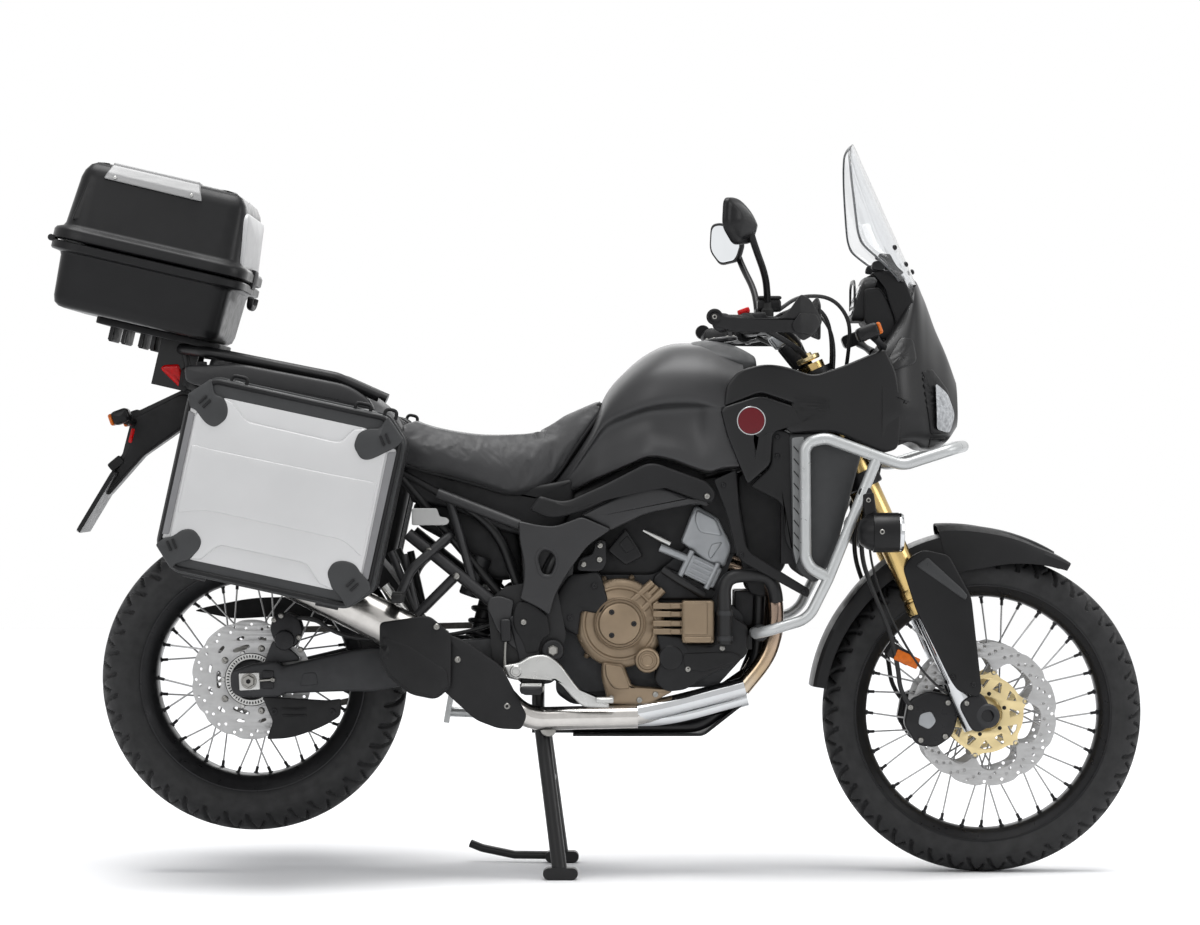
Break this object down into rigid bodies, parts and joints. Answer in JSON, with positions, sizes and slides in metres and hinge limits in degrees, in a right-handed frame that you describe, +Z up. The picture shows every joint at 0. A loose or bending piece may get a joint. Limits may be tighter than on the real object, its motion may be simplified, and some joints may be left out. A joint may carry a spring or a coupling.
{
  "type": "adventure motorcycle",
  "caption": "Tall adventure motorcycle on its centre stand, with wire wheels, a long fork, crash bars, two side cases and a top case.",
  "frame": {"origin": "on the floor, at the middle of the overall length and width", "axes": "+X forward, +Y to the rider's left, +Z up"},
  "size_m": [2.3433, 0.95, 1.57],
  "materials": {
    "frame_black": "satin black paint",
    "engine_grey": "cast, dark grey paint",
    "cover_bronze": "bronze paint on cast covers",
    "pipe_steel": "stainless steel",
    "plastic_black": "grained black plastic",
    "body_black": "deep gloss black",
    "seat_vinyl": "black vinyl",
    "lamp_clear": "clear lens",
    "lamp_red": "red lens",
    "lamp_amber": "amber lens",
    "screen_clear": "clear screen",
    "bar_silver": "silver powder coat",
    "chain_steel": "oiled steel",
    "caliper_dark": "anodised",
    "disc_steel": "drilled steel",
    "fork_gold": "gold anodised",
    "leg_chrome": "hard chrome",
    "tyre_rubber": "rubber",
    "wheel_black": "black rims and bright spokes",
    "case_silver": "black case with a silver panel"
  },
  "bodies": {
    "root": {"main_frame": "frame_black", "rear_subframe": "frame_black", "engine_block": "engine_grey", "engine_covers": "cover_bronze", "exhaust_pipes": "pipe_steel", "exhaust_silencer": "pipe_steel", "exhaust_shields": "plastic_black", "fuel_tank": "body_black", "rider_seat": "seat_vinyl", "pillion_seat": "seat_vinyl", "side_shrouds": "body_black", "side_covers": "plastic_black", "nose_fairing": "body_black", "headlamps": "lamp_clear", "windscreen": "screen_clear", "instrument_panel": "plastic_black", "radiators": "plastic_black", "crash_bars": "bar_silver", "fog_lamps": "lamp_clear", "turn_signals": "lamp_amber", "skid_plate": "plastic_black", "swingarm": "frame_black", "shock_absorber": "chain_steel", "drive_chain": "chain_steel", "rear_hugger": "plastic_black", "rear_brake_caliper": "caliper_dark", "tail_rack": "frame_black", "number_plate_holder": "frame_black", "tail_lamp": "lamp_red", "topcase_base": "plastic_black", "pannier_shells": "case_silver", "foot_controls": "frame_black"},
    "steering": {"fork_tubes": "fork_gold", "fork_legs": "leg_chrome", "triple_clamps": "frame_black", "handlebar": "frame_black", "grips_and_levers": "plastic_black", "handguards": "plastic_black", "mirrors": "plastic_black", "front_mudguard": "plastic_black", "front_brake_calipers": "caliper_dark"},
    "front_wheel": {"front_tyre": "tyre_rubber", "front_wire_wheel": "wheel_black", "front_discs": "disc_steel"},
    "rear_wheel": {"rear_tyre": "tyre_rubber", "rear_wire_wheel": "wheel_black", "rear_disc_and_sprocket": "disc_steel"},
    "centre_stand": {"centre_stand": "frame_black"},
    "side_stand": {"side_stand": "frame_black"},
    "topcase_lid": {"topcase_lid": "body_black"},
    "pannier_lid_right": {"pannier_lid_right": "case_silver"},
    "pannier_lid_left": {"pannier_lid_left": "case_silver"}
  },
  "joints": [
    {"name": "steering", "type": "hinge", "parent": "root", "child": "steering", "pos_m": [0.7724, 0, 0.32012], "axis": [-0.4147, 0, 0.91], "range_deg": [-38, 38]},
    {"name": "front_wheel_spin", "type": "hinge", "parent": "steering", "child": "front_wheel", "pos_m": [0.827, 0, 0.345], "axis": [0, 1, 0], "continuous": true},
    {"name": "rear_wheel_spin", "type": "hinge", "parent": "root", "child": "rear_wheel", "pos_m": [-0.748, 0, 0.42], "axis": [0, 1, 0], "continuous": true},
    {"name": "centre_stand_fold", "type": "hinge", "parent": "root", "child": "centre_stand", "pos_m": [-0.125, 0, 0.323], "axis": [0, 1, 0], "range_deg": [0, 80]},
    {"name": "side_stand_swing", "type": "hinge", "parent": "root", "child": "side_stand", "pos_m": [-0.038, 0.168, 0.32], "axis": [-0.0183, -0.9301, -0.3668], "range_deg": [0, 107]},
    {"name": "topcase_lid_hinge", "type": "hinge", "parent": "root", "child": "topcase_lid", "pos_m": [-0.74626, 0, 1.26633], "axis": [0, 1, 0], "range_deg": [0, 75]},
    {"name": "pannier_lid_right_hinge", "type": "hinge", "parent": "root", "child": "pannier_lid_right", "pos_m": [-0.69814, -0.414, 0.62515], "axis": [0.977, 0, -0.213], "range_deg": [0, 60]},
    {"name": "pannier_lid_left_hinge", "type": "hinge", "parent": "root", "child": "pannier_lid_left", "pos_m": [-0.69814, 0.414, 0.62515], "axis": [-0.977, 0, 0.213], "range_deg": [0, 60]}
  ]
}
